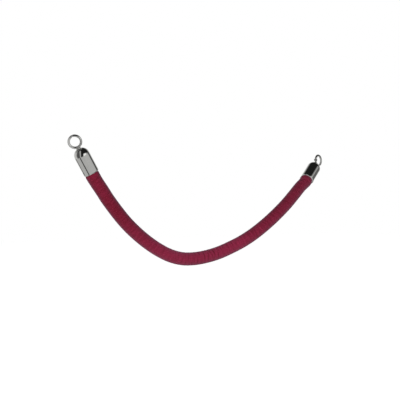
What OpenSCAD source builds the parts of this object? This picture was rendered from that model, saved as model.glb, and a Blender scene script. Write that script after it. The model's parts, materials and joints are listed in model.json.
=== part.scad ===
// Velvet barrier rope: a velvet sleeve over a soft core, a drawn ferrule on each end, and a swivelling
// ring hook with a spring gate on each ferrule. Millimetres, +Z up, origin at the eye of the left hook.

/* [Rope] */
// Outside diameter of the velvet rope
rope_d = 38; // [30:0.5:44]
// Thickness of the velvet sleeve
pile_t = 1.5; // [1:0.1:2.5]
// Gap between the sleeve and the core
core_gap = 0.3; // [0.1:0.05:0.5]
// How far the sleeve reaches into a ferrule
sleeve_depth = 30; // [22:1:34]
// How far the core reaches into a ferrule
core_depth = 46; // [44:1:50]
// How much the ferrule squeezes the rope, on the radius
rope_squeeze = 0.3; // [0.2:0.1:1.5]
// Gap between the ferrule and the rope inside it
rope_gap = 0.3; // [0.1:0.05:0.5]
// Length over which the rope swells again outside the ferrule
swell_len = 6; // [3:0.5:12]

/* [Whipping] */
// Diameter of the twine that binds the core
twine_d = 1.4; // [1:0.1:1.6]
// Turns of twine
whip_turns = 6; // [4:1:7]
// Gap between the twine and the core
whip_gap = 0.15; // [0.05:0.05:0.3]
// How far the last turn stays from the end of the core
whip_from_end = 3; // [2:0.5:5]

/* [Ferrule] */
// Length of the ferrule from its mouth to the flat land on its dome
ferrule_len = 74.2; // [70:0.2:90]
// Wall of the ferrule
ferrule_wall = 1.2; // [0.8:0.1:1.6]
// Radius of the lip rolled in at the mouth
lip_r = 3; // [2:0.1:4]
// Diameter of the flat land on the dome
land_d = 18; // [17:0.5:20]

/* [Fixing screws] */
// Diameter of a fixing screw
screw_d = 5; // [4:0.5:6]
// Length of a fixing screw
screw_len = 9; // [8:0.5:12]
// How far a fixing screw sits below the ferrule's wall
screw_below = 0.3; // [0.1:0.1:0.5]
// Distance of the fixing screws from the mouth
screw_from_mouth = 10; // [8:0.5:14]
// Across flats of the socket in a screw
screw_socket = 2.5; // [2:0.5:3]
// Depth of the socket in a screw
socket_depth = 2.2; // [1.5:0.1:3]
// Clearance round a screw
screw_gap = 0.15; // [0.05:0.05:0.3]

/* [Swivel] */
// Diameter of the hook's stem
stem_d = 8; // [6:0.5:8]
// Running clearance of the stem, on the radius
stem_gap = 0.06; // [0.03:0.01:0.1]
// End play of the swivel
end_play = 0.1; // [0.05:0.05:0.3]
// Outside diameter of the washers
washer_d = 14; // [12:0.5:15]
// Thickness of a washer
washer_t = 1; // [0.8:0.1:2]
// Across flats of the lock nut
nut_af = 13; // [12:0.5:15]
// Height of the lock nut
nut_h = 6.5; // [5:0.5:8]
// Length of stem past the nut
stem_past_nut = 1.5; // [0.5:0.5:3]

/* [Ring hook] */
// Outside diameter of the ring
ring_d = 39.4; // [37:0.2:46]
// Thickness of the ring's round stock
ring_stock = 6.8; // [6.4:0.1:7.2]
// Height of the neck from its collar to the ring
neck_len = 1; // [0.6:0.1:4]
// Diameter of the neck's collar
collar_d = 13; // [11:0.5:14]
// Height of the collar
collar_h = 1.2; // [1:0.1:2]
// Diameter of the neck's waist
waist_d = 9; // [8:0.2:10]

/* [Gate] */
// Thickness of the gate's round stock
gate_stock = 6.9; // [6.2:0.1:7.2]
// Place of the gate's hinge on the ring, from the ring's side
hinge_angle = -45; // [-50:1:-40]
// Place of the gate's tip on the ring, from the ring's side
nose_angle = 30; // [26:1:34]
// Slope of the cut between the gate and the nose
nose_slope = 66; // [62:1:68]
// Gap between the gate and the nose
nose_gap = 0.3; // [0.2:0.05:0.6]
// Diameter of the lug that carries the hinge
lug_d = 7.6; // [7.4:0.2:8.2]
// Thickness of each cheek of the lug
cheek_t = 2; // [1.6:0.1:2.4]
// Gap between the lug and the gate's stock
lug_gap = 0.35; // [0.25:0.05:0.6]
// Diameter of the gate's eye
eye_d = 6; // [5:0.2:6.4]
// Thickness of the gate's tongue
tongue_t = 1.6; // [1.2:0.1:2]
// Diameter of the gate's pin
pin_d = 2.5; // [2:0.1:2.8]
// Clearance of the pin in the cheeks, on the radius
pin_fit = 0.02; // [0.01:0.01:0.05]
// Running clearance of the gate on its pin, on the radius
pin_gap = 0.05; // [0.03:0.01:0.1]
// Diameter of the pin's riveted heads
pin_head_d = 4; // [3.5:0.1:5]
// Height of a riveted head
pin_head_h = 0.7; // [0.4:0.1:1]

/* [Gate spring] */
// Wire of the gate's spring
wire_d = 0.5; // [0.4:0.05:0.5]
// Turns of the spring
spring_turns = 2; // [2:1:3]
// Gap between the spring and the pin, on the radius
coil_gap = 0.25; // [0.2:0.05:0.4]
// Gap between the spring and what is beside it
side_gap = 0.15; // [0.1:0.05:0.25]
// Clearance of a spring leg in its hole, on the radius
leg_gap = 0.15; // [0.1:0.05:0.2]
// How far a spring leg goes into its hole
leg_in_hole = 1.4; // [1:0.1:2]

/* [Pose] */
// Turn of the left hook about its ferrule
left_turn = 152; // [0:1:359]
// Turn of the right hook about its ferrule
right_turn = 178; // [0:1:359]
// Turn of the left fixing screws about the ferrule
left_screw_turn = 4; // [-90:1:90]
// Turn of the right fixing screws about the ferrule
right_screw_turn = -51; // [-90:1:90]

/* [Hidden] */
$fn = 64;

// Route of the rope's middle from the left mouth to the right mouth, as it hangs
route = [
    [0, 0, 0], [12, 0, -20.4], [33, 0, -49.5], [47, 0, -69.5], [74.5, 0, -103.5], [104, 0, -136],
    [135, 0, -164], [169, 0, -190], [205, 0, -212.5], [244.5, 0, -231], [285, 0, -241], [328, 0, -242],
    [371.5, 0, -236.5], [412, 0, -227], [453, 0, -213], [493, 0, -197], [531.5, 0, -177.5],
    [568.5, 1, -155.5], [604, 3.5, -132.5], [637.5, 7, -109], [672.5, 12.5, -83.5], [706.5, 19.5, -56.5],
    [725, 24, -41.5], [744, 28.5, -27], [765.6, 33.2, -13.55], [774, 36, -5.5]
];
last = len(route) - 1;
rope_sides = 12;
rope_steps = 2;
wire_sides = 6;
turn_steps = 12;
cut = 1;
// Shares of a size: the pitch of the twine, the tip of a screw, the locking collar of a nut, the neck's top
twine_pitch = 0.9;
screw_tip = 0.25;
locking_height = 0.25;
locking_width = 0.9;
neck_top = 0.45;
// How far the stock runs past its cuts before they are made, and the stretch of it that carries the tongue
body_past = 30;
gate_past = 40;
tongue_arc = 25;

velvet_colour = [0.46, 0.15, 0.23];
filler_colour = [0.85, 0.82, 0.74];
twine_colour = [0.78, 0.7, 0.55];
chrome_colour = [0.78, 0.79, 0.8];
steel_colour = [0.6, 0.61, 0.62];
dark_colour = [0.16, 0.16, 0.17];

// Sizes of the ferrule and of the rope inside it
mouth_r = rope_d / 2 - rope_squeeze;
ferrule_r = mouth_r + lip_r;
held_r = mouth_r - rope_gap;
dome_z = ferrule_len - sqrt(ferrule_r * ferrule_r - land_d * land_d / 4);
stem_hole_r = stem_d / 2 + stem_gap;

// The rope's polygon is widened a little, so that its flats and corners straddle the true round
polygon_grow = 1 / sqrt(cos(180 / rope_sides));
free_r = rope_d / 2 * polygon_grow;
core_held_r = held_r - pile_t - core_gap;
core_free_r = free_r - pile_t - core_gap;

// Heights along a ferrule's axis, from its mouth
inner_washer_z = ferrule_len - ferrule_wall - end_play - washer_t;
nut_z = inner_washer_z - nut_h;
stem_end_z = nut_z - stem_past_nut;
collar_z = ferrule_len + washer_t + end_play;
reach = collar_z + neck_len + ring_d / 2;

// Sizes of the ring hook and its hinge
ring_r = (ring_d - ring_stock) / 2;
slot_w = tongue_t + wire_d * (spring_turns + 1) + 4 * side_gap;
lug_w = slot_w + 2 * cheek_t;
slot_r = lug_d / 2 + 2 * lug_gap;
gate_start_r = lug_d / 2 + lug_gap;
tongue_y = -slot_w / 2 + side_gap;
coil_r = pin_d / 2 + coil_gap + wire_d / 2;
coil_pitch = wire_d + side_gap / 2;
coil_y = tongue_y + tongue_t + side_gap + wire_d / 2;
coil_far_y = coil_y + spring_turns * coil_pitch;
leg_angle = hinge_angle + 180;
body_leg = sqrt(slot_r * slot_r - coil_r * coil_r) + leg_in_hole;
gate_leg = sqrt(gate_start_r * gate_start_r - coil_r * coil_r) + leg_in_hole;
nose_reach = ring_r;
nose_clear = 0.8 * ring_r;

function unit(v) = v / norm(v);
function at_ring(angle) = ring_r * [cos(angle), 0, sin(angle)];
function about_y(angle) = [cos(angle), 0, sin(angle)];

// Axes of the two ferrules and the places of their mouths
left_axis = unit(route[0] - route[1]);
right_axis = unit(route[last] - route[last - 1]);
left_mouth = -reach * left_axis;
right_mouth = left_mouth + route[last];

// Point on the smooth curve through four neighbours, with t from 0 to 1 between the middle two
function between(a, b, c, d, t) =
    let (turn = 2 * a - 5 * b + 4 * c - d, twist = 3 * b - a - 3 * c + d)
    (2 * b + (c - a) * t + turn * t * t + twist * t * t * t) / 2;

// The rope's middle: a straight end in each ferrule and the smooth route between them
function rope_path(depth) = concat(
    [left_mouth + depth * left_axis, left_mouth, left_mouth - swell_len * left_axis],
    [
        for (i = [1:last - 2], step = [0:rope_steps - 1])
            left_mouth + between(route[i - 1], route[i], route[i + 1], route[i + 2], step / rope_steps)
    ],
    [left_mouth + route[last - 1], right_mouth - swell_len * right_axis, right_mouth],
    [right_mouth + depth * right_axis]
);
function rope_radii(path, held, free) = [
    for (i = [0:len(path) - 1]) (i < 2 || i > len(path) - 3) ? held : free
];

// Ring of points round a path, square to it
function along(path, i) = unit(path[min(i + 1, len(path) - 1)] - path[max(i - 1, 0)]);
function ring_points(path, i, r, side, sides) =
    let (t = along(path, i), a = unit(cross(side, t)), b = cross(t, a))
    [for (k = [0:sides - 1]) path[i] + r * (cos(360 * k / sides) * a + sin(360 * k / sides) * b)];
function sweep_points(path, radii, side, sides) = [
    for (i = [0:len(path) - 1]) each ring_points(path, i, radii[i], side, sides)
];
// Faces of the wall between neighbouring rings, seen from outside or from inside
function wall_faces(rings, sides, first, inside) = [
    for (i = [0:rings - 2], k = [0:sides - 1])
        let (
            a = first + i * sides + k,
            b = first + i * sides + (k + 1) % sides,
            quad = [a, b, b + sides, a + sides]
        )
        inside ? [quad[3], quad[2], quad[1], quad[0]] : quad
];

// Solid rod of varying radius along a path
module swept_rod(path, radii, side, sides) {
    rings = len(path);
    polyhedron(
        sweep_points(path, radii, side, sides),
        concat(
            wall_faces(rings, sides, 0, false),
            [[for (k = [sides - 1:-1:0]) k]],
            [[for (k = [0:sides - 1]) (rings - 1) * sides + k]]
        ),
        convexity = 8
    );
}

// Hollow tube of varying radius along a path
module swept_tube(path, outer, inner, side, sides) {
    rings = len(path);
    hole = rings * sides;
    foot = (rings - 1) * sides;
    polyhedron(
        concat(sweep_points(path, outer, side, sides), sweep_points(path, inner, side, sides)),
        concat(
            wall_faces(rings, sides, 0, false),
            wall_faces(rings, sides, hole, true),
            [for (k = [0:sides - 1]) let (n = (k + 1) % sides) [n, k, hole + k, hole + n]],
            [
                for (k = [0:sides - 1])
                    let (n = (k + 1) % sides)
                    [foot + k, foot + n, hole + foot + n, hole + foot + k]
            ]
        ),
        convexity = 8
    );
}

// Puts children on a ferrule's axis, with its mouth at the origin and +Z out to the hook
module at_end(mouth, axis) {
    translate(mouth) rotate([0, acos(axis[2]), atan2(axis[1], axis[0])]) children();
}
module at_left() {
    at_end(left_mouth, left_axis) children();
}
module at_right() {
    at_end(right_mouth, right_axis) children();
}

// Puts children in a hook's own frame, with the middle of its ring at the origin
module at_left_hook() {
    at_left() rotate([0, 0, left_turn]) translate([0, 0, reach]) children();
}
module at_right_hook() {
    at_right() rotate([0, 0, right_turn]) translate([0, 0, reach]) children();
}

// Both screws of a ferrule, with children pointing out along +Z from the screws' outer ends
module at_screws(turn) {
    for (side = [0, 180])
        rotate([0, 0, turn + side])
            translate([ferrule_r - screw_below, 0, screw_from_mouth])
                rotate([0, 90, 0]) children();
}
module screw_holes(turn) {
    at_screws(turn)
        translate([0, 0, -screw_len - screw_gap])
            cylinder(h = screw_len + screw_gap + screw_below + cut, d = screw_d + 2 * screw_gap);
}

module rope_screw_holes() {
    at_left() screw_holes(left_screw_turn);
    at_right() screw_holes(right_screw_turn);
}

module velvet_sleeve() {
    path = rope_path(sleeve_depth);
    outer = rope_radii(path, held_r, free_r);
    inner = rope_radii(path, held_r - pile_t, free_r - pile_t);
    color(velvet_colour) difference() {
        swept_tube(path, outer, inner, [0, 1, 0], rope_sides);
        rope_screw_holes();
    }
}

module core() {
    path = rope_path(core_depth);
    color(filler_colour) difference() {
        swept_rod(path, rope_radii(path, core_held_r, core_free_r), [0, 1, 0], rope_sides);
        rope_screw_holes();
    }
}

// Half outline of the cap: a lip rolled in at the mouth, a straight wall, and a round dome with a flat land
module ferrule_outline(inset) {
    intersection() {
        translate([0, inset]) square([ferrule_r - inset, ferrule_len - 2 * inset]);
        union() {
            translate([0, inset]) square([mouth_r, lip_r]);
            translate([mouth_r, lip_r]) circle(lip_r - inset);
            translate([0, lip_r]) square([ferrule_r - inset, dome_z - lip_r]);
            translate([0, dome_z]) circle(ferrule_r - inset);
        }
    }
}

module ferrule(turn) {
    color(chrome_colour) difference() {
        rotate_extrude() difference() {
            ferrule_outline(0);
            ferrule_outline(ferrule_wall);
        }
        translate([0, 0, -cut]) cylinder(h = lip_r + cut, r = mouth_r);
        translate([0, 0, -cut]) cylinder(h = ferrule_len + 2 * cut, r = stem_hole_r);
        screw_holes(turn);
    }
}

// Headless screws: a hexagon socket at the ferrule's wall and a pointed tip in the core
module fixing_screws(turn) {
    tip = screw_d / 2;
    color(dark_colour) at_screws(turn) difference() {
        union() {
            translate([0, 0, tip - screw_len]) cylinder(h = screw_len - tip, d = screw_d);
            translate([0, 0, -screw_len]) cylinder(h = tip, d1 = screw_tip * screw_d, d2 = screw_d);
        }
        translate([0, 0, -socket_depth])
            cylinder(h = socket_depth + cut, d = screw_socket / cos(30), $fn = 6);
    }
}

module whipping() {
    pitch = twine_pitch * twine_d;
    inner = core_held_r + whip_gap;
    top = core_depth - whip_from_end - twine_d / 2;
    color(twine_colour) rotate_extrude() {
        for (i = [0:whip_turns - 1]) translate([inner + twine_d / 2, top - i * pitch]) circle(d = twine_d);
        translate([inner, top - (whip_turns - 1) * pitch]) square([twine_d / 2, (whip_turns - 1) * pitch]);
    }
}

module washer(z) {
    translate([0, 0, z]) difference() {
        cylinder(h = washer_t, d = washer_d);
        translate([0, 0, -cut]) cylinder(h = washer_t + 2 * cut, r = stem_hole_r);
    }
}
module thrust_washer() {
    color(steel_colour) washer(ferrule_len);
}
module inner_washer() {
    color(steel_colour) washer(inner_washer_z);
}

// Hexagon nut with its corners turned off and a plain locking collar below
module lock_nut() {
    locking_h = locking_height * nut_h;
    corner_d = nut_af / cos(30);
    color(steel_colour) translate([0, 0, nut_z]) difference() {
        union() {
            translate([0, 0, locking_h]) intersection() {
                cylinder(h = nut_h - locking_h, d = corner_d, $fn = 6);
                cylinder(h = nut_h - locking_h, d1 = nut_af, d2 = nut_af + 2 * (nut_h - locking_h));
            }
            cylinder(h = locking_h + cut / 2, d = locking_width * nut_af);
        }
        translate([0, 0, -cut]) cylinder(h = nut_h + 2 * cut, r = stem_hole_r);
    }
}

// Stretch of round stock on the ring's circle
module ring_arc(stock, from, to) {
    rotate([90, 0, 0]) rotate([0, 0, from])
        rotate_extrude(angle = to - from) translate([ring_r, 0]) circle(d = stock);
}
// Puts children on the gate's hinge, with +Z across the ring
module at_hinge() {
    translate(at_ring(hinge_angle)) rotate([90, 0, 0]) children();
}
// Round bar across the ring at its hinge
module hinge_bar(r, w) {
    at_hinge() cylinder(h = w, r = r, center = true);
}
// Half space on one side of the sloping cut between the gate and the nose
module nose_side(from, to) {
    translate(at_ring(nose_angle)) rotate([0, 90 - nose_slope, 0])
        translate([-nose_reach, -ring_stock, from]) cube([2 * nose_reach, 2 * ring_stock, to - from]);
}
// Hole for a spring leg, from the hinge along the gate or back along the ring
module leg_hole(y, length, turn) {
    translate(at_ring(hinge_angle) + coil_r * about_y(leg_angle) + [0, y, 0])
        rotate([0, turn - hinge_angle, 0]) cylinder(h = length + leg_gap, d = wire_d + 2 * leg_gap);
}

// Half outline of the stem, the collar and the waist that runs up into the ring
module neck_outline() {
    foot = collar_z - reach;
    fillet = (collar_d - waist_d) / 2;
    waist_z = foot + collar_h + fillet;
    translate([0, foot]) square([collar_d / 2, collar_h]);
    difference() {
        translate([0, foot + collar_h]) square([collar_d / 2, fillet]);
        translate([collar_d / 2, waist_z]) circle(fillet);
    }
    polygon([
        [0, foot], [waist_d / 2, foot], [waist_d / 2, waist_z], [neck_top * ring_stock, -ring_r], [0, -ring_r]
    ]);
    translate([0, stem_end_z - reach]) square([stem_d / 2, collar_z - stem_end_z]);
}

module hook_body() {
    color(chrome_colour) difference() {
        union() {
            difference() {
                ring_arc(ring_stock, nose_angle - body_past, 360 + hinge_angle);
                nose_side(-nose_clear, nose_gap / 2);
            }
            hinge_bar(lug_d / 2, lug_w);
            rotate_extrude() neck_outline();
        }
        hinge_bar(slot_r, slot_w);
        hinge_bar(pin_d / 2 + pin_fit, lug_w + cut);
        leg_hole(coil_y, body_leg, 180);
    }
}

module gate() {
    color(chrome_colour) difference() {
        union() {
            difference() {
                ring_arc(gate_stock, hinge_angle, nose_angle + gate_past);
                hinge_bar(gate_start_r, ring_stock + lug_w);
                nose_side(-nose_gap / 2, 2 * nose_reach);
            }
            intersection() {
                union() {
                    hinge_bar(eye_d / 2, slot_w);
                    ring_arc(gate_stock, hinge_angle, hinge_angle + tongue_arc);
                }
                translate([-ring_d, tongue_y, -ring_d]) cube([2 * ring_d, tongue_t, 2 * ring_d]);
            }
        }
        hinge_bar(pin_d / 2 + pin_gap, lug_w);
        leg_hole(coil_far_y, gate_leg, 0);
    }
}

module gate_pin() {
    head_r = (pin_head_h * pin_head_h + pin_head_d * pin_head_d / 4) / (2 * pin_head_h);
    color(steel_colour) at_hinge() {
        cylinder(h = lug_w, d = pin_d, center = true);
        for (side = [0, 180])
            rotate([side, 0, 0]) translate([0, 0, lug_w / 2]) rotate_extrude() intersection() {
                square([pin_head_d / 2, pin_head_h]);
                translate([0, pin_head_h - head_r]) circle(head_r);
            }
    }
}

// Torsion spring: one leg in the ring, the turns round the pin, the other leg in the gate
module gate_spring() {
    middle = at_ring(hinge_angle);
    heading = about_y(hinge_angle + 90);
    side = coil_r * about_y(leg_angle);
    steps = spring_turns * turn_steps;
    path = concat(
        [middle + side + [0, coil_y, 0] - body_leg * heading],
        [
            for (i = [0:steps])
                middle + coil_r * about_y(leg_angle - 360 * i / turn_steps)
                    + [0, coil_y + coil_pitch * i / turn_steps, 0]
        ],
        [middle + side + [0, coil_far_y, 0] + gate_leg * heading]
    );
    color(steel_colour) swept_rod(path, [for (p = path) wire_d / 2], [0, 1, 0], wire_sides);
}

velvet_sleeve();
core();
at_left() ferrule(left_screw_turn);  // left_ferrule
at_left() fixing_screws(left_screw_turn);  // left_fixing_screws
at_left() whipping();  // left_whipping
at_left() thrust_washer();  // left_thrust_washer
at_left() inner_washer();  // left_inner_washer
at_left() lock_nut();  // left_lock_nut
at_left_hook() hook_body();  // left_hook_body
at_left_hook() gate();  // left_gate
at_left_hook() gate_pin();  // left_gate_pin
at_left_hook() gate_spring();  // left_gate_spring
at_right() ferrule(right_screw_turn);  // right_ferrule
at_right() fixing_screws(right_screw_turn);  // right_fixing_screws
at_right() whipping();  // right_whipping
at_right() thrust_washer();  // right_thrust_washer
at_right() inner_washer();  // right_inner_washer
at_right() lock_nut();  // right_lock_nut
at_right_hook() hook_body();  // right_hook_body
at_right_hook() gate();  // right_gate
at_right_hook() gate_pin();  // right_gate_pin
at_right_hook() gate_spring();  // right_gate_spring
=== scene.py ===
"""Velvet barrier rope, dressed for rendering: cut-pile velvet, polished chrome ends and a white stage."""

import json
import math

import bpy
import numpy as np
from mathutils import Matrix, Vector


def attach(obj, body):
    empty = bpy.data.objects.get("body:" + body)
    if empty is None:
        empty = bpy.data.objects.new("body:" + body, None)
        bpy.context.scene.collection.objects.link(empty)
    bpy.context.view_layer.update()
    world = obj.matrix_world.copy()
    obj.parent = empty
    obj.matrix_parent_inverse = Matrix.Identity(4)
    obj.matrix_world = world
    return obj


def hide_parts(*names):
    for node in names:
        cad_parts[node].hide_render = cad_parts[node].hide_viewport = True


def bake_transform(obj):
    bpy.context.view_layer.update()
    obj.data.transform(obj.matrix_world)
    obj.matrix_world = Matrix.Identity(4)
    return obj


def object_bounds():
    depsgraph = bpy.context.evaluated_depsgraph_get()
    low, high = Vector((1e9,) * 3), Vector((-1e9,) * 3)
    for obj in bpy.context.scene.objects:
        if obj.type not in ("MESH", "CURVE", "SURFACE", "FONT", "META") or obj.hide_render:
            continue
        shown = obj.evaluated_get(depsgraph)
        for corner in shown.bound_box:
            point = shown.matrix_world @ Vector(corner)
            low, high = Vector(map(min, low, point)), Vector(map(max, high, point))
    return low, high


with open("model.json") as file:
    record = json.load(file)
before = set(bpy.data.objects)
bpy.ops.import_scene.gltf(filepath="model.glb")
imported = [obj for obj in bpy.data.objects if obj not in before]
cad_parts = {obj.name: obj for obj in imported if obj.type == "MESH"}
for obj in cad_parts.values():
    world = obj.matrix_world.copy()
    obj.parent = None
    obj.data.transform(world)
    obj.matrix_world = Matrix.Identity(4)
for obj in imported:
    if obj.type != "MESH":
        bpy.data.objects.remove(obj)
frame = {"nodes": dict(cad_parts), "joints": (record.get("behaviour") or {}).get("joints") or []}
cad_low, cad_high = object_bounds()

bl_info = {
    "name": "Velvet barrier rope",
    "version": (1, 0, 0),
    "blender": (4, 5, 0),
    "location": "View3D > Sidebar > Barrier rope",
    "description": "Dresses a velvet barrier rope with its velvet, chrome and steel finishes",
    "category": "Object",
}

SIDES = ("left", "right")
JOINTS = {joint["name"]: joint for joint in frame["joints"]}

# Directions: from the rope's front to its rear, and up
REAR = (0, 1, 0)
UP = (0, 0, 1)

# Distance from a ferrule's mouth to the middle of its ring
MOUTH_TO_EYE = 0.096

# Route of the rope's middle from the left mouth to the right mouth, in metres, as it hangs
ROUTE = np.array([
    (0, 0, 0), (0.012, 0, -0.0204), (0.033, 0, -0.0495), (0.047, 0, -0.0695), (0.0745, 0, -0.1035),
    (0.104, 0, -0.136), (0.135, 0, -0.164), (0.169, 0, -0.19), (0.205, 0, -0.2125), (0.2445, 0, -0.231),
    (0.285, 0, -0.241), (0.328, 0, -0.242), (0.3715, 0, -0.2365), (0.412, 0, -0.227), (0.453, 0, -0.213),
    (0.493, 0, -0.197), (0.5315, 0, -0.1775), (0.5685, 0.001, -0.1555), (0.604, 0.0035, -0.1325),
    (0.6375, 0.007, -0.109), (0.6725, 0.0125, -0.0835), (0.7065, 0.0195, -0.0565),
    (0.725, 0.024, -0.0415), (0.744, 0.0285, -0.027), (0.7656, 0.0332, -0.01355), (0.774, 0.036, -0.0055),
])

# How finely the surfaces are drawn, and how far the rope's points crowd towards its seam
ROUTE_STEPS = 48
RING_COUNT = 1100
SIDE_COUNT = 80
LINING_STEP = 16
WIRE_SIDES = 12
COIL_STEPS = 32
SEAM_CROWDING = 0.45

# Rings over which the rope's bend is evened out
BEND_SPAN = 61

# Waves of the cross ripples: how many of each there are in one pitch, how often each leans to and fro
# round the rope, how fast its lean drifts along the rope, and how far they lean
RIPPLE_RATES = np.array([0.61, 0.83, 1, 1.29, 1.57])
RIPPLE_LEANS = np.array([2, 1, 3, 2, 3])
RIPPLE_DRIFTS = np.array([9, -17, -31, 40, 23])
RIPPLE_LEAN = 1.6

# Changes along the free rope, in metres: how far from the left mouth each begins, and how long it takes
SLACK_BEGINS = (0.3, 0.1)
SLACK_ENDS = (0.5, 0.25)
# The right slope and the right end mark painted shade over the right slope and painted light under the
# right end
RIGHT_SLOPE_BEGINS = (0.54, 0.12)
RIGHT_SLOPE_ENDS = (0.76, 0.1)
RIGHT_END_BEGINS = (0.74, 0.1)

# Middle and spread of two humps: the left slope, from the left mouth, and a bulge, from its own mouth
# The left slope's hump marks painted light on the rope's top
LEFT_SLOPE = (0.32, 0.07)
BULGE = (0.007, 0.012)

# Distance outside a mouth over which the folds and bulges begin
MOUTH_EDGE = 0.002

# Painted light along the velvet: shares of the rope's length from the left mouth over which its lighter
# stretch begins and ends, and the start, end and blur of its lightest spot, a painted highlight
PAINTED_LIGHT_BEGINS = (0.1, 0.44)
PAINTED_LIGHT_ENDS = (0.58, 0.9)
PAINTED_HIGHLIGHT_SPOT = (0.53, 0.59, 0.05)

# Rubbed chrome with painted light: heights above a ferrule's mouth over which its rim, with its painted
# highlight, ends and its ring begins, and distances behind the ring's middle over which the ring's back,
# with its painted reflection, begins
RIM_ENDS = (0.0003, 0.0014)
RING_BEGINS = (0.078, 0.084)
RING_BACK_BEGINS = (0.004, 0.012)

# Scale of the strands in the cotton filling and in the twine
COTTON_SCALE = 420
TWINE_SCALE = 1500

# Place of each lamp from the point that the camera looks at: to the right, towards the camera and up
KEY_PLACE = (-0.4, 3.6, 0.65)
REAR_PLACE = (0, -3.6, 0.2)
LAMP_SIZE = 1.6

# The floor's colour, its own light, and the light that only the camera sees
FLOOR_COLOUR = (0.85, 0.85, 0.85, 1)
FLOOR_GLOW = 0.12
FLOOR_SEEN_GLOW = 0.72


def swivel_axis(side):
    """Unit vector along a ferrule, from its mouth out to its hook."""
    return np.array(JOINTS[side + "_swivel"]["axis"])


def eye(side):
    """Middle of a hook's ring."""
    return np.array(JOINTS[side + "_swivel"]["pos_m"])


def mouth(side):
    """Middle of a ferrule's mouth."""
    return eye(side) - MOUTH_TO_EYE * swivel_axis(side)


# Settings that a user would change

def length_setting(name, description, default):
    """A length in metres."""
    return bpy.props.FloatProperty(
        name=name, description=description, default=default, min=0, precision=5, unit="LENGTH"
    )


def share_setting(name, description, default):
    """A share from 0 to 1."""
    return bpy.props.FloatProperty(
        name=name, description=description, default=default, min=0, max=1, subtype="FACTOR"
    )


def angle_setting(name, description, degrees):
    """An angle, with its default in degrees."""
    return bpy.props.FloatProperty(
        name=name, description=description, default=math.radians(degrees), subtype="ANGLE", unit="ROTATION"
    )


def count_setting(name, description, default, least):
    """A whole number."""
    return bpy.props.IntProperty(name=name, description=description, default=default, min=least)


def power_setting(name, description, default):
    """Power of a lamp in watts."""
    return bpy.props.FloatProperty(name=name, description=description, default=default, unit="POWER")


def colour_setting(name, description, default):
    """A linear colour."""
    return bpy.props.FloatVectorProperty(
        name=name, description=description, default=default, size=3, min=0, max=1, subtype="COLOR"
    )


class VelvetSettings(bpy.types.PropertyGroup):
    """Sizes and colours of the velvet rope."""

    diameter: length_setting("Diameter", "Outside diameter of the free rope", 0.038)
    held: length_setting("Held diameter", "Diameter of the rope inside a ferrule", 0.0368)
    wall: length_setting("Wall", "Thickness of the velvet sleeve", 0.001)
    tuck: length_setting("Tuck", "How far the velvet reaches into a ferrule", 0.029)
    swell: length_setting("Swell", "Length over which the rope swells outside a ferrule", 0.007)
    fold_count: count_setting("Folds", "Gathered folds at a mouth", 15, 3)
    fold_depth: length_setting("Fold depth", "Depth of a gathered fold", 0.00055)
    fold_fade: length_setting("Fold fade", "Length over which the folds fade out", 0.009)
    ripple_pitch: length_setting("Ripple pitch", "Usual distance between cross ripples", 0.011)
    ripple_depth: length_setting("Ripple depth", "Height of a cross ripple in loose velvet", 0.0002)
    bulge: length_setting("Bulge", "How far the velvet swells outside the right mouth", 0.0034)
    seam_angle: angle_setting("Seam angle", "Place of the seam, from the underside to the rear", 62)
    seam_depth: length_setting("Seam depth", "Depth of the sewn seam", 0.0008)
    seam_width: length_setting("Seam width", "Half width of the sewn seam", 0.001)
    stitch_pitch: length_setting("Stitch pitch", "Distance between the hidden stitches", 0.0042)
    # Blending from shade to colour gives the nap's own tone, and also painted light and shade along and
    # round the rope
    colour: colour_setting("Velvet", "Colour where the nap stands up", (0.26, 0.018, 0.054))
    shade: colour_setting("Velvet shade", "Colour where the nap lies down", (0.105, 0.0032, 0.0102))
    sheen: colour_setting("Sheen", "Tint of the light that the tips of the pile catch", (0.62, 0.5, 0.72))
    sheen_weight: share_setting("Sheen weight", "Strength of the pile's sheen", 0.27)


class MetalSettings(bpy.types.PropertyGroup):
    """Colours of the metal fittings and of the rope's filling."""

    chrome: colour_setting("Chrome", "Colour of the polished chrome", (0.8, 0.8, 0.775))
    steel: colour_setting("Steel", "Colour of the zinc-plated steel", (0.56, 0.57, 0.56))
    black: colour_setting("Black screws", "Colour of the blackened screws", (0.018, 0.018, 0.02))
    filler: colour_setting("Filling", "Colour of the cotton filling", (0.7, 0.65, 0.55))
    twine: colour_setting("Twine", "Colour of the waxed twine", (0.55, 0.43, 0.26))


class SpringSettings(bpy.types.PropertyGroup):
    """Sizes of a gate's torsion spring."""

    wire: length_setting("Wire", "Diameter of the spring's wire", 0.0005)
    turns: count_setting("Turns", "Turns of the spring round its rivet", 2, 1)
    coil_radius: length_setting("Coil radius", "Radius of the turns, to the middle of the wire", 0.00175)
    pitch: length_setting("Pitch", "Distance from one turn to the next", 0.000575)
    near: length_setting("Near side", "Distance of the first turn from the ring's middle plane", 0.0003)
    hook_leg: length_setting("Hook leg", "Length of the leg that goes into the ring", 0.00555)
    gate_leg: length_setting("Gate leg", "Length of the leg that goes into the gate", 0.00516)


class StageSettings(bpy.types.PropertyGroup):
    """Camera, floor and light."""

    azimuth: angle_setting("Azimuth", "Turn of the camera round the rope", -32)
    distance: length_setting("Distance", "Distance of the camera from the rope's middle", 2.333)
    aim_across: length_setting("Aim across", "Where the camera looks, along the rope's span", 0.3921)
    aim_below: length_setting("Aim below", "How far below the left eye the camera looks", 0.1547)
    lens: bpy.props.FloatProperty(
        name="Lens", description="Focal length", default=72, subtype="DISTANCE_CAMERA"
    )
    floor_drop: length_setting("Floor drop", "Height of the rope's lowest point above the floor", 0.42)
    floor_size: length_setting("Floor size", "Half width of the floor", 9)
    key: power_setting("Key", "Power of the key light", 105)
    rear: power_setting("Rear", "Power of the rear light", 60)
    fill: share_setting("Fill", "Level of the soft light from all round", 0.2)


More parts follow.
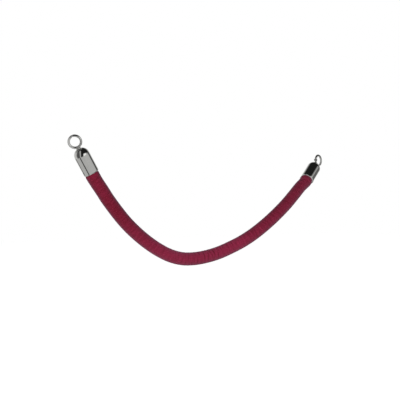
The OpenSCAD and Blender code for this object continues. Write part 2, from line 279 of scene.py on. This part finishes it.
class BarrierRopeSettings(bpy.types.PropertyGroup):
    """All settings of the barrier rope."""

    velvet: bpy.props.PointerProperty(type=VelvetSettings)
    metal: bpy.props.PointerProperty(type=MetalSettings)
    spring: bpy.props.PointerProperty(type=SpringSettings)
    stage: bpy.props.PointerProperty(type=StageSettings)


# Shader maths

class Value:
    """An output socket of a node tree. Its operators add Math nodes, and node() adds any other node."""

    def __init__(self, tree, socket=None):
        self.tree = tree
        self.socket = socket

    def node(self, kind, settings=None, sockets=None, out=0):
        """Adds a node, makes its settings, fills its sockets, by value or link, and returns one output."""
        made = self.tree.nodes.new(kind)
        for key, value in (settings or {}).items():
            setattr(made, key, value)
        for key, value in (sockets or {}).items():
            if isinstance(value, Value):
                self.tree.links.new(value.socket, made.inputs[key])
            else:
                made.inputs[key].default_value = value
        return Value(self.tree, made.outputs[out]) if made.outputs else None

    def math(self, operation, *values):
        """One Math node on these values."""
        return self.node("ShaderNodeMath", {"operation": operation}, dict(enumerate(values)))

    def __add__(self, other):
        return self.math("ADD", self, other)

    def __sub__(self, other):
        return self.math("SUBTRACT", self, other)

    def __rsub__(self, other):
        return self.math("SUBTRACT", other, self)

    def __mul__(self, other):
        return self.math("MULTIPLY", self, other)

    __radd__ = __add__
    __rmul__ = __mul__

    def rise(self, low, high):
        """0 below low, 1 above high and a smooth step between them."""
        sockets = {"Value": self, "From Min": low, "From Max": high}
        return self.node("ShaderNodeMapRange", {"interpolation_type": "SMOOTHSTEP"}, sockets)

    def band(self, low, high, blur):
        """1 between low and high, fading to 0 over blur outside them."""
        return self.rise(low - blur, low) * (1 - self.rise(high, high + blur))

    def along(self, direction):
        """How far a vector reaches along a direction."""
        sockets = {0: self, 1: tuple(direction)}
        return self.node("ShaderNodeVectorMath", {"operation": "DOT_PRODUCT"}, sockets, out="Value")

    def noise(self, scale, detail=2.0, roughness=0.5):
        """Soft noise from 0 to 1 at this place."""
        sockets = {"Vector": self, "Scale": scale, "Detail": detail, "Roughness": roughness}
        return self.node("ShaderNodeTexNoise", None, sockets, out="Fac")

    def blend(self, low, high):
        """The colour low where this value is 0, and high where it is 1."""
        sockets = {0: self, 6: (*low, 1), 7: (*high, 1)}
        return self.node("ShaderNodeMix", {"data_type": "RGBA"}, sockets, out=2)

    def bump(self, distance, strength):
        """The surface's normal, tilted as if this value raised it by distance."""
        sockets = {"Height": self, "Distance": distance, "Strength": strength}
        return self.node("ShaderNodeBump", None, sockets, out="Normal")


def new_shader(name):
    """An empty material, and the value that starts its node tree."""
    material = bpy.data.materials.new(name)
    material.use_nodes = True
    material.node_tree.nodes.clear()
    return material, Value(material.node_tree)


def finish_surface(shader, sockets):
    """Adds the surface shader with these sockets, and the material's output."""
    surface = shader.node("ShaderNodeBsdfPrincipled", None, sockets)
    shader.node("ShaderNodeOutputMaterial", None, {"Surface": surface})


def scaled(colour, share):
    """A colour with each of its parts times a share."""
    return [share * part for part in colour]


def velvet_material(velvet):
    """Cut pile, with painted light and shade: lighter where the rope hangs lowest and darker towards its
    ends.

    Soft patches, short strokes round the rope and fine tufts vary the nap's own tone. A mesh attribute adds
    more
    painted light and shade: lighter on the crests of the cross ripples, and lighter or darker on some sides
    of the rope.
    """
    material, shader = new_shader("velvet")
    place = shader.node("ShaderNodeTexCoord", out="Object")
    on_cloth = shader.node("ShaderNodeTexCoord", out="UV")
    along = shader.node("ShaderNodeSeparateXYZ", None, {"Vector": on_cloth}, out="Y")
    stroke_place = shader.node("ShaderNodeMapping", None, {"Vector": on_cloth, "Scale": (6, 120, 1)})
    # Painted light and shade from the mesh's attribute: ripples' crests lighter, some sides of the rope
    # lighter or darker
    painted_shading = shader.node("ShaderNodeAttribute", {"attribute_name": "painted_shading"}, out="Fac")
    # Painted light and shade along the rope: lighter over the lowest stretch, lightest at one spot there,
    # darker towards the ends
    lowest = along.rise(*PAINTED_LIGHT_BEGINS) * (1 - along.rise(*PAINTED_LIGHT_ENDS) * 0.55)
    lowest = lowest + along.band(*PAINTED_HIGHLIGHT_SPOT) * 0.26
    patches = place.noise(26).rise(0.3, 0.7)
    strokes = stroke_place.noise(1, 2).rise(0.25, 0.75)
    tufts = place.noise(700, 4, 0.8).rise(0.25, 0.75)
    # The blend mixes the nap's own tone, from the patches, strokes and tufts, with the painted light and
    # shade
    lean = lowest * 0.5 + patches * 0.1 + strokes * 0.18 + tufts * 0.4 + painted_shading * 0.5 - 0.07
    finish_surface(shader, {
        "Base Color": lean.blend(velvet.shade, velvet.colour),
        "Roughness": 0.8 + tufts * 0.15,
        "Specular IOR Level": 0.15,
        "Sheen Weight": velvet.sheen_weight,
        "Sheen Roughness": 0.5,
        "Sheen Tint": (*velvet.sheen, 1),
        "Normal": (tufts + strokes * 0.4).bump(0.0005, 0.4),
    })
    return material


def chrome_material(name, metal, side):
    """Polished chrome: fine polishing lines round the ferrule's axis, soft smudges and a few specks.

    The rim at the ferrule's mouth and the back of the ring, opposite the gate, are rougher, as a rubbed
    satin, and partly non-metallic so that they render lighter: a painted highlight on the rim and a painted
    reflection on the ring's back.
    """
    material, shader = new_shader(name)
    place = shader.node("ShaderNodeTexCoord", out="Object")
    axis = swivel_axis(side)
    height = place.along(axis) - float(mouth(side) @ axis)
    line_place = shader.node("ShaderNodeCombineXYZ", None, {"X": height * 2600})
    lines = line_place.noise(1, 1)
    smudges = place.noise(70, 3).rise(0.48, 0.72)
    specks = place.noise(900, 1).rise(0.66, 0.74)
    # Painted highlight: the rim is rougher and less metallic, so that it renders lighter
    rim_satin_and_highlight = 1 - height.rise(*RIM_ENDS)
    gate_side = np.cross(axis, JOINTS[side + "_gate_hinge"]["axis"])
    behind_eye = float(eye(side) @ gate_side) - place.along(gate_side)
    # Painted reflection: the ring's back is rougher and less metallic, so that it renders lighter than the
    # gate side
    satin_and_painted_reflection = height.rise(*RING_BEGINS) * behind_eye.rise(*RING_BACK_BEGINS)
    finish_surface(shader, {
        "Base Color": (smudges * 0.25 + specks * 0.3).blend(metal.chrome, scaled(metal.chrome, 0.86)),
        "Metallic": 1 - rim_satin_and_highlight * 0.3 - satin_and_painted_reflection * 0.22,
        "Roughness": 0.055 + smudges * 0.05 + specks * 0.06 + lines * 0.03 + (rim_satin_and_highlight + satin_and_painted_reflection) * 0.3,
        "Normal": (lines + specks * 0.3).bump(0.00001, 0.06),
    })
    return material


def steel_material(name, metal):
    """Zinc-plated steel: a cloudy grey with a fine grain."""
    material, shader = new_shader(name)
    place = shader.node("ShaderNodeTexCoord", out="Object")
    cloud = place.noise(240, 3)
    grain = place.noise(3000, 2)
    finish_surface(shader, {
        "Base Color": cloud.blend(scaled(metal.steel, 0.75), metal.steel),
        "Metallic": 1,
        "Roughness": 0.24 + cloud * 0.14 + grain * 0.05,
        "Normal": grain.bump(0.00003, 0.3),
    })
    return material


def black_screw_material(metal):
    """Blackened steel, a little worn to grey in places."""
    material, shader = new_shader("black_screw")
    place = shader.node("ShaderNodeTexCoord", out="Object")
    wear = place.noise(800, 3).rise(0.58, 0.75)
    finish_surface(shader, {
        "Base Color": wear.blend(metal.black, scaled(metal.black, 5)),
        "Metallic": 0.6 + wear * 0.4,
        "Roughness": 0.42 - wear * 0.1,
        "Normal": place.noise(2500, 2).bump(0.00003, 0.3),
    })
    return material


def fibre_material(name, colour, strand_scale):
    """Cotton or twine: pale strands, with painted shade in the hollows between them."""
    material, shader = new_shader(name)
    place = shader.node("ShaderNodeTexCoord", out="Object")
    strands = place.noise(strand_scale, 4, 0.6)
    finish_surface(shader, {
        # Painted shade: the colour darkens where the strands' noise is low, in the hollows that the bump
        # makes
        "Base Color": strands.rise(0.3, 0.6).blend(scaled(colour, 0.55), colour),
        "Roughness": 0.78 + strands * 0.2,
        "Normal": strands.bump(0.0004, 0.6),
    })
    return material


def finish_node(name, material):
    """Gives a node of the model its material."""
    for slot in frame["nodes"][name].material_slots:
        slot.material = material


# Curves and paths

def smooth(x):
    """0 below 0, 1 above 1, and a smooth step between them."""
    x = np.clip(x, 0, 1)
    return x * x * (3 - 2 * x)


def after(x, start, length):
    """0 before the start, 1 a length after it, and a smooth step between them."""
    return smooth((x - start) / length)


def hump(x, middle, spread):
    """A bell: 1 at the middle, falling off on both sides by the square of the distance over the spread."""
    return np.exp(-(((x - middle) / spread) ** 2))


def unit(vectors):
    """Vectors made one long."""
    return vectors / np.linalg.norm(vectors, axis=-1, keepdims=True)


def smooth_route(points, steps):
    """A cubic through each stretch of the points, which passes each point along its neighbours' line."""
    before_first = 2 * points[:1] - points[1:2]
    after_last = 2 * points[-1:] - points[-2:-1]
    padded = np.concatenate([before_first, points, after_last])[:, None, :]
    a, b, c, d = padded[:-3], padded[1:-2], padded[2:-1], padded[3:]
    t = np.linspace(0, 1, steps, endpoint=False)[None, :, None]
    curve = 2 * b + (c - a) * t + (2 * a - 5 * b + 4 * c - d) * t**2 + (3 * b - a - 3 * c + d) * t**3
    return np.concatenate([curve.reshape(-1, 3) / 2, points[-1:]])


def even_path(points, count):
    """Evenly spaced points along a line of points, and how far along it each one lies."""
    steps = np.linalg.norm(np.diff(points, axis=0), axis=1)
    travelled = np.concatenate([[0], np.cumsum(steps)])
    wanted = np.linspace(0, travelled[-1], count)
    return np.stack([np.interp(wanted, travelled, points[:, k]) for k in range(3)], axis=1), wanted


def rope_line(velvet):
    """The rope's middle, and how far each point lies from the left mouth along it.

    It is straight in each ferrule and follows the route between them, evenly spaced.
    """
    hanging = mouth("left") + smooth_route(ROUTE, ROUTE_STEPS)
    tucked_left = mouth("left") + velvet.tuck * swivel_axis("left")
    tucked_right = mouth("right") + velvet.tuck * swivel_axis("right")
    path, travelled = even_path(np.vstack([tucked_left, hanging, tucked_right]), RING_COUNT)
    return path, travelled - velvet.tuck


def rope_bend(path):
    """How sharply the path bends at each point, evened out, as a share of its sharpest bend."""
    turn = np.linalg.norm(np.gradient(unit(np.gradient(path, axis=0)), axis=0), axis=1)
    soft = np.convolve(turn, np.ones(BEND_SPAN) / BEND_SPAN, mode="same")
    return soft / soft.max()


def spring_path(spring, side):
    """Middle of a gate spring's wire, and the direction across the ring.

    The wire is a straight leg in the ring, a helix round the rivet and a straight leg in the gate.
    """
    hinge = JOINTS[side + "_gate_hinge"]
    rivet = np.array(hinge["pos_m"])
    across = -np.array(hinge["axis"])
    out = unit(rivet - eye(side))
    heading = np.cross(out, across)
    turned = np.linspace(0, spring.turns, spring.turns * COIL_STEPS + 1)[:, None]
    turn = math.pi - math.tau * turned
    coil = rivet + spring.coil_radius * (np.cos(turn) * out + np.sin(turn) * heading)
    coil = coil + (spring.near + spring.pitch * turned) * across
    hook_end = coil[0] - spring.hook_leg * heading
    gate_end = coil[-1] + spring.gate_leg * heading
    return np.vstack([hook_end, coil, gate_end]), across


# The velvet's surface: angles go round the rope from its underside, by the rear, to the top

def gathered_folds(velvet, outside, angle):
    """Depth of the folds at a mouth: an uneven wave round the rope, squared, that fades along the rope."""
    uneven = 1.4 * np.sin(2 * angle + 1) + 0.8 * np.sin(5 * angle)
    wave = np.cos(velvet.fold_count * angle + uneven)
    depth = velvet.fold_depth * (0.7 + 0.3 * np.sin(3 * angle + 2))
    fade = np.exp(-np.maximum(outside, 0) / velvet.fold_fade)
    return depth * fade * (0.5 - 0.5 * wave) ** 2


def mouth_bulges(velvet, from_left, from_right, angle):
    """Height of the bulges: a hump over the right mouth, and one a third as high under the left mouth."""
    over = np.sin(angle / 2) ** 4
    right_bulge = over * hump(from_right, *BULGE)
    left_bulge = (1 - over) / 3 * hump(from_left, *BULGE)
    return velvet.bulge * (right_bulge + left_bulge)


def sewn_seam(velvet, along, angle):
    """Height of the seam: a groove that is deepest at each stitch, with a low lip on both sides."""
    off_seam = velvet.diameter / 2 * ((angle - velvet.seam_angle + math.pi) % math.tau - math.pi)
    stitches = 0.8 + 0.2 * np.cos(math.tau * along / velvet.stitch_pitch)
    groove = hump(off_seam, 0, velvet.seam_width) * stitches
    lip_place = 2.4 * velvet.seam_width
    lips = hump(np.abs(off_seam), lip_place, velvet.seam_width)
    return velvet.seam_depth * (0.3 * lips - groove)


def velvet_slack(along, bend):
    """How loose the velvet is: more where the rope bends, and most where it hangs lowest."""
    lowest = after(along, *SLACK_BEGINS) * (1 - 0.9 * after(along, *SLACK_ENDS))
    return 0.3 + 0.3 * bend + 0.65 * lowest


def cross_ripples(velvet, along, angle):
    """Height of the cross ripples, as a share of their depth: a sum of sine waves along the rope.

    Each wave leans to and fro round the rope. The sum is patchy, and highest on top, inside the bend.
    """
    lean = np.sin(RIPPLE_LEANS * angle[..., None] + RIPPLE_DRIFTS * along[..., None])
    waves = np.sin(RIPPLE_RATES * math.tau * along[..., None] / velvet.ripple_pitch + RIPPLE_LEAN * lean)
    patchy = 0.68 + 0.32 * np.sin(47 * along + 2 * np.sin(angle)) * np.cos(19 * along - 2 * angle)
    inside_bend = 0.35 + 0.65 * np.sin(angle / 2) ** 2
    return inside_bend * patchy * waves.sum(axis=-1) / math.sqrt(len(RIPPLE_RATES))


def painted_light_and_shade(along, angle, slack, ripple):
    """Painted light and shade on the velvet: lighter on the ripples' crests, over the left slope and under
    the right end.

    Darker under the lowest stretch and over the right slope.
    """
    # Painted light and shade on the top and the underside, and on the ripples' crests and troughs
    over = np.sin(angle / 2) ** 8
    under = np.cos(angle / 2) ** 8
    left_slope = hump(along, *LEFT_SLOPE)
    right_slope = after(along, *RIGHT_SLOPE_BEGINS) * (1 - 0.7 * after(along, *RIGHT_SLOPE_ENDS))
    right_end = after(along, *RIGHT_END_BEGINS) * np.cos(angle / 2) ** 4
    lowest = np.maximum(slack - 0.4, 0)
    return ripple + 0.35 * right_end + (left_slope - 0.6 * right_slope) * over - 0.75 * lowest * under


def rope_radius(velvet, along, angle, bend):
    """Radius of the velvet, and its painted light and shade, at each place along and round the rope.

    The velvet is held in the ferrules and swells outside them. Folds, bulges, ripples and a seam are added.
    """
    from_right = along[-1, 0] - velvet.tuck - along
    outside = np.minimum(along, from_right)
    swell = smooth(outside / velvet.swell)
    shown = smooth(outside / MOUTH_EDGE)
    slack = velvet_slack(along, bend)
    ripple = swell * slack * cross_ripples(velvet, along, angle)
    radius = (velvet.held + (velvet.diameter - velvet.held) * swell) / 2
    radius = radius - shown * gathered_folds(velvet, outside, angle)
    radius = radius + shown * mouth_bulges(velvet, along, from_right, angle)
    radius = radius + swell * sewn_seam(velvet, along, angle) + velvet.ripple_depth * ripple
    return radius, painted_light_and_shade(along, angle, slack, ripple)


# Meshes

def tube_points(path, side, angle, radius):
    """Points at a radius round a path.

    The angle starts square to the path and to the side direction, and turns towards the side direction.
    """
    ahead = unit(np.gradient(path, axis=0))
    start = unit(np.cross(side, ahead))
    turned = np.cross(ahead, start)
    outward = np.cos(angle)[..., None] * start[:, None] + np.sin(angle)[..., None] * turned[:, None]
    return path[:, None] + radius[..., None] * outward


def tube_quads(index):
    """Outward quads between each row of a grid of point numbers and the next, wrapped round the rows."""
    near = index[:-1]
    far = index[1:]
    quads = np.stack([near, np.roll(near, -1, axis=1), np.roll(far, -1, axis=1), far], axis=-1)
    return quads.reshape(-1, 4).tolist()


def new_piece(name, points, faces, material):
    """A smooth mesh object from points and faces."""
    mesh = bpy.data.meshes.new(name)
    mesh.from_pydata(points.reshape(-1, 3), [], faces)
    mesh.polygons.foreach_set("use_smooth", np.ones(len(faces), bool))
    mesh.materials.append(material)
    mesh.update()
    made = bpy.data.objects.new(name, mesh)
    bpy.context.scene.collection.objects.link(made)
    return made


def closed_grid(name, points, uv, painted_shading, material):
    """A mesh from a grid of points that closes on itself both ways, with its faces outwards.

    Its attribute holds the velvet's painted light and shade at each point.
    """
    index = np.arange(points.shape[0] * points.shape[1]).reshape(points.shape[:2])
    made = new_piece(name, points, tube_quads(np.vstack([index, index[:1]])), material)
    made.data.uv_layers.new(name="UVMap").uv.foreach_set("vector", uv.astype(np.float32).ravel())
    painted_shading_layer = made.data.attributes.new("painted_shading", "FLOAT", "POINT")
    painted_shading_layer.data.foreach_set("value", painted_shading.astype(np.float32).ravel())
    return made


def round_rod(name, path, side, diameter, material):
    """A round rod along a path, closed by a flat face at each end."""
    angle = np.broadcast_to(math.tau * np.arange(WIRE_SIDES) / WIRE_SIDES, (len(path), WIRE_SIDES))
    points = tube_points(path, side, angle, np.full(angle.shape, diameter / 2))
    index = np.arange(angle.size).reshape(angle.shape)
    ends = [index[0, ::-1].tolist(), index[-1].tolist()]
    return new_piece(name, points, tube_quads(index) + ends, material)


def grid_uv(around, along):
    """UV corners of a closed grid's quads: u goes round the rope from 0 to 1, and v along it as given."""
    next_around = np.append(around[1:], 1)
    next_along = np.append(along[1:], along[-1])
    u = np.stack([around, next_around, next_around, around], axis=-1)
    v = np.stack([along, along, next_along, next_along], axis=-1)
    corners = (len(along), len(around), 4)
    return np.stack([np.broadcast_to(u[None], corners), np.broadcast_to(v[:, None], corners)], axis=-1)


# Operators

class BARRIER_OT_stage(bpy.types.Operator):
    """Makes the camera, the pale floor, the key and rear lights and the white studio"""

    bl_idname = "barrier.stage"
    bl_label = "Stage"

    def execute(self, context):
        stage = context.scene.barrier_rope.stage
        context.scene.view_settings.view_transform = "Standard"
        right = np.array([math.cos(stage.azimuth), math.sin(stage.azimuth), 0])
        back = np.array([math.sin(stage.azimuth), -math.cos(stage.azimuth), 0])
        aim = np.array([stage.aim_across, 0, -stage.aim_below])
        self.make_camera(context, stage, aim + stage.distance * back)
        axes = np.array([right, back, UP])
        self.make_lamp(context, "key", stage.key, aim, KEY_PLACE @ axes)
        self.make_lamp(context, "rear", stage.rear, aim, REAR_PLACE @ axes)
        self.make_floor(context, stage)
        self.make_studio(context, stage, right, back)
        return {"FINISHED"}

    def make_camera(self, context, stage, place):
        """A level camera at this place, turned by the azimuth."""
        lens = bpy.data.cameras.new("camera")
        lens.lens = stage.lens
        camera = bpy.data.objects.new("camera", lens)
        camera.location = place
        camera.rotation_euler = (math.pi / 2, 0, stage.azimuth)
        context.scene.collection.objects.link(camera)
        context.scene.camera = camera

    def make_lamp(self, context, name, power, aim, offset):
        """A large soft disk that shines at the aim from this offset and that the metal doesn't mirror."""
        disk = bpy.data.lights.new(name, "AREA")
        disk.shape = "DISK"
        disk.size = LAMP_SIZE
        disk.energy = power
        lamp = bpy.data.objects.new(name, disk)
        lamp.location = aim + offset
        turn = math.atan2(offset[0], -offset[1])
        lamp.rotation_euler = (math.acos(offset[2] / np.linalg.norm(offset)), 0, turn)
        lamp.visible_glossy = False
        context.scene.collection.objects.link(lamp)

    def make_floor(self, context, stage):
        """A level sheet under the rope, white to the camera apart from the rope's own soft shadow."""
        low = cad_low.z - stage.floor_drop
        corners = np.array([(-1, -1), (1, -1), (1, 1), (-1, 1)]) * stage.floor_size
        mesh = bpy.data.meshes.new("floor")
        mesh.from_pydata(np.column_stack([corners, np.full(4, low)]), [], [(0, 1, 2, 3)])
        material, shader = new_shader("pale_floor")
        seen = shader.node("ShaderNodeLightPath", out="Is Camera Ray")
        paint = shader.node("ShaderNodeBsdfDiffuse", None, {"Color": FLOOR_COLOUR})
        glow = shader.node("ShaderNodeEmission", None, {"Strength": seen * FLOOR_SEEN_GLOW + FLOOR_GLOW})
        surface = shader.node("ShaderNodeAddShader", None, {0: paint, 1: glow})
        shader.node("ShaderNodeOutputMaterial", None, {"Surface": surface})
        mesh.materials.append(material)
        floor = bpy.data.objects.new("floor", mesh)
        floor.visible_glossy = False
        context.scene.collection.objects.link(floor)

    def make_studio(self, context, stage, right, back):
        """White to the camera, an even soft light for the cloth, and a room for the metal to mirror."""
        world = bpy.data.worlds.new("white_studio")
        world.use_nodes = True
        world.node_tree.nodes.clear()
        shader = Value(world.node_tree)
        direction = shader.node("ShaderNodeTexCoord", out="Generated")
        room = self.mirrored_room(direction.along(right), direction.along(back), direction.along(UP))
        seen = shader.node("ShaderNodeLightPath", out="Is Camera Ray")
        glossy = shader.node("ShaderNodeLightPath", out="Is Glossy Ray")
        through = shader.node("ShaderNodeLightPath", out="Is Transmission Ray")
        mirrored = glossy.math("MAXIMUM", glossy, through)
        level = seen + mirrored * room + (1 - seen) * (1 - mirrored) * stage.fill
        surface = shader.node("ShaderNodeBackground", None, {"Color": (1, 1, 1, 1), "Strength": level})
        shader.node("ShaderNodeOutputWorld", None, {"Surface": surface})
        context.scene.world = world

    def mirrored_room(self, across, toward, height):
        """How light the room is in a direction: to the right, towards the camera and up.

        Below a slanting edge the room is an even grey, and above it the room is dark.
        """
        leftward = 0 - across
        away = 0 - toward
        above = height * 0.86 - across * 0.43 + toward * 0.27
        upper = above.rise(-0.15, -0.1)

        # Lower room: a dark gap on the right, a grey gap behind on the left, a dark strip low down
        right_gap = across.rise(0.2, 0.4) * (1 - (toward + height * 1.5).rise(0.25, 0.38))
        right_gap = right_gap * (1 - toward.rise(0.15, 0.35))
        left_gap = leftward.rise(0.2, 0.4) * away.rise(0.25, 0.5)
        low_strip = (across + toward * 0.41).band(-0.2, 0.02, 0.07) * (1 - height.rise(-0.45, -0.3))
        gap_depth = 0.72 + height.rise(0.15, 0.3) * 0.12
        lower_room = (1 - right_gap * gap_depth) * (1 - left_gap * 0.7) * (1 - low_strip * 0.85) * 0.49

        # Upper room: a bright card on the right, a strip left of the camera, a pale wall, a dim left side
        card = across.rise(0.3, 0.6) * (1 - (above - toward * 0.35).rise(-0.05, 0.15)) * (1 - right_gap)
        card = card * (0.3 + toward.rise(0.1, 0.5) * 0.65)
        strip = (across + height * 0.08).band(-0.34, -0.22, 0.14) * toward.rise(0.2, 0.5) * 0.4
        pale_wall = leftward.rise(0.3, 0.7) * (1 - toward.rise(0, 0.45))
        pale_wall = pale_wall * (1 - height.rise(0.2, 0.75)) * 0.5
        dim_side = leftward.rise(0.1, 0.4) * (1 - height.rise(0.6, 0.85)) * 0.075
        upper_room = card + strip + pale_wall + dim_side + 0.012

        # White backdrop behind the rope, darker upwards
        backdrop = (away + height.rise(0.3, 0.6) * 0.2).rise(0.69, 0.78)
        backdrop_level = 0.95 - height.rise(0.15, 0.9) * 0.95
        room = lower_room * (1 - upper) + upper_room * upper
        return room * (1 - backdrop) + backdrop * backdrop_level


class BARRIER_OT_velvet_rope(bpy.types.Operator):
    """Makes the velvet rope with its folds, bulges, ripples and seam, along the hanging route"""

    bl_idname = "barrier.velvet_rope"
    bl_label = "Velvet rope"

    def execute(self, context):
        velvet = context.scene.barrier_rope.velvet
        path, along = rope_line(velvet)
        share = np.arange(SIDE_COUNT) / SIDE_COUNT
        angle = velvet.seam_angle + math.tau * share - SEAM_CROWDING * np.sin(math.tau * share)
        radius, painted_shading = rope_radius(velvet, along[:, None], angle[None], rope_bend(path)[:, None])
        outer = tube_points(path, REAR, np.broadcast_to(angle, radius.shape), radius)
        lining = np.full_like(radius, velvet.diameter / 2 - velvet.wall)
        lining = np.minimum(lining, radius - velvet.wall)
        inner = tube_points(path, REAR, np.broadcast_to(angle, radius.shape), lining)
        inside = np.unique(np.append(np.arange(0, RING_COUNT, LINING_STEP), RING_COUNT - 1))[::-1]
        points = np.concatenate([outer, inner[inside]])
        painted_shading = np.concatenate([painted_shading, painted_shading[inside]])
        length = along / along[-1]
        uv = grid_uv(share, np.concatenate([length, length[inside]]))
        rope = closed_grid("velvet_rope", points, uv, painted_shading, velvet_material(velvet))
        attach(rope, "rope")
        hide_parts("velvet_sleeve")
        return {"FINISHED"}


class BARRIER_OT_chrome_fittings(bpy.types.Operator):
    """Gives the ferrules, hooks and gates their polished chrome"""

    bl_idname = "barrier.chrome_fittings"
    bl_label = "Chrome fittings"

    def execute(self, context):
        metal = context.scene.barrier_rope.metal
        for side in SIDES:
            chrome = chrome_material(side + "_chrome", metal, side)
            for piece in ("ferrule", "hook_body", "gate"):
                finish_node(f"{side}_{piece}", chrome)
        return {"FINISHED"}


class BARRIER_OT_steel_fittings(bpy.types.Operator):
    """Gives the washers, lock nuts and gate pins their zinc-plated steel"""

    bl_idname = "barrier.steel_fittings"
    bl_label = "Steel fittings"

    def execute(self, context):
        steel = steel_material("zinc_steel", context.scene.barrier_rope.metal)
        for side in SIDES:
            for piece in ("thrust_washer", "inner_washer", "lock_nut", "gate_pin"):
                finish_node(f"{side}_{piece}", steel)
        return {"FINISHED"}


class BARRIER_OT_gate_springs(bpy.types.Operator):
    """Makes the torsion spring of each gate, with a leg in the hook and a leg in the gate"""

    bl_idname = "barrier.gate_springs"
    bl_label = "Gate springs"

    def execute(self, context):
        settings = context.scene.barrier_rope
        spring = settings.spring
        steel = steel_material("spring_steel", settings.metal)
        for side in SIDES:
            path, across = spring_path(spring, side)
            made = round_rod(side + "_torsion_spring", path, across, spring.wire, steel)
            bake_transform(made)
            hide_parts(side + "_gate_spring")
        return {"FINISHED"}


class BARRIER_OT_fixing_screws(bpy.types.Operator):
    """Gives the fixing screws their blackened steel"""

    bl_idname = "barrier.fixing_screws"
    bl_label = "Fixing screws"

    def execute(self, context):
        black = black_screw_material(context.scene.barrier_rope.metal)
        for side in SIDES:
            finish_node(side + "_fixing_screws", black)
        return {"FINISHED"}


class BARRIER_OT_filling(bpy.types.Operator):
    """Gives the cotton core and its twine whippings their fibres"""

    bl_idname = "barrier.filling"
    bl_label = "Filling"

    def execute(self, context):
        metal = context.scene.barrier_rope.metal
        finish_node("core", fibre_material("cotton_filling", metal.filler, COTTON_SCALE))
        twine = fibre_material("waxed_twine", metal.twine, TWINE_SCALE)
        for side in SIDES:
            finish_node(side + "_whipping", twine)
        return {"FINISHED"}


class BARRIER_PT_panel(bpy.types.Panel):
    """Lists the pieces of the barrier rope and their settings"""

    bl_idname = "BARRIER_PT_panel"
    bl_label = "Barrier rope"
    bl_space_type = "VIEW_3D"
    bl_region_type = "UI"
    bl_category = "Barrier rope"

    def draw(self, context):
        for operator in OPERATORS:
            self.layout.operator(operator.bl_idname)
        settings = context.scene.barrier_rope
        for group in (settings.velvet, settings.metal, settings.spring, settings.stage):
            box = self.layout.box()
            for key in group.__annotations__:
                box.prop(group, key)


OPERATORS = (
    BARRIER_OT_stage,
    BARRIER_OT_velvet_rope,
    BARRIER_OT_chrome_fittings,
    BARRIER_OT_steel_fittings,
    BARRIER_OT_gate_springs,
    BARRIER_OT_fixing_screws,
    BARRIER_OT_filling,
)
GROUPS = (VelvetSettings, MetalSettings, SpringSettings, StageSettings)
CLASSES = (*GROUPS, BarrierRopeSettings, *OPERATORS, BARRIER_PT_panel)


def register():
    """Registers the classes and gives each scene its settings."""
    for made in CLASSES:
        bpy.utils.register_class(made)
    bpy.types.Scene.barrier_rope = bpy.props.PointerProperty(type=BarrierRopeSettings)


def unregister():
    """Takes the settings and the classes away again."""
    del bpy.types.Scene.barrier_rope
    for made in reversed(CLASSES):
        bpy.utils.unregister_class(made)


def main():
    """Makes the stage and all the pieces."""
    register()
    bpy.ops.barrier.stage()
    bpy.ops.barrier.velvet_rope()
    bpy.ops.barrier.chrome_fittings()
    bpy.ops.barrier.steel_fittings()
    bpy.ops.barrier.gate_springs()
    bpy.ops.barrier.fixing_screws()
    bpy.ops.barrier.filling()


if __name__ == "__main__":
    main()
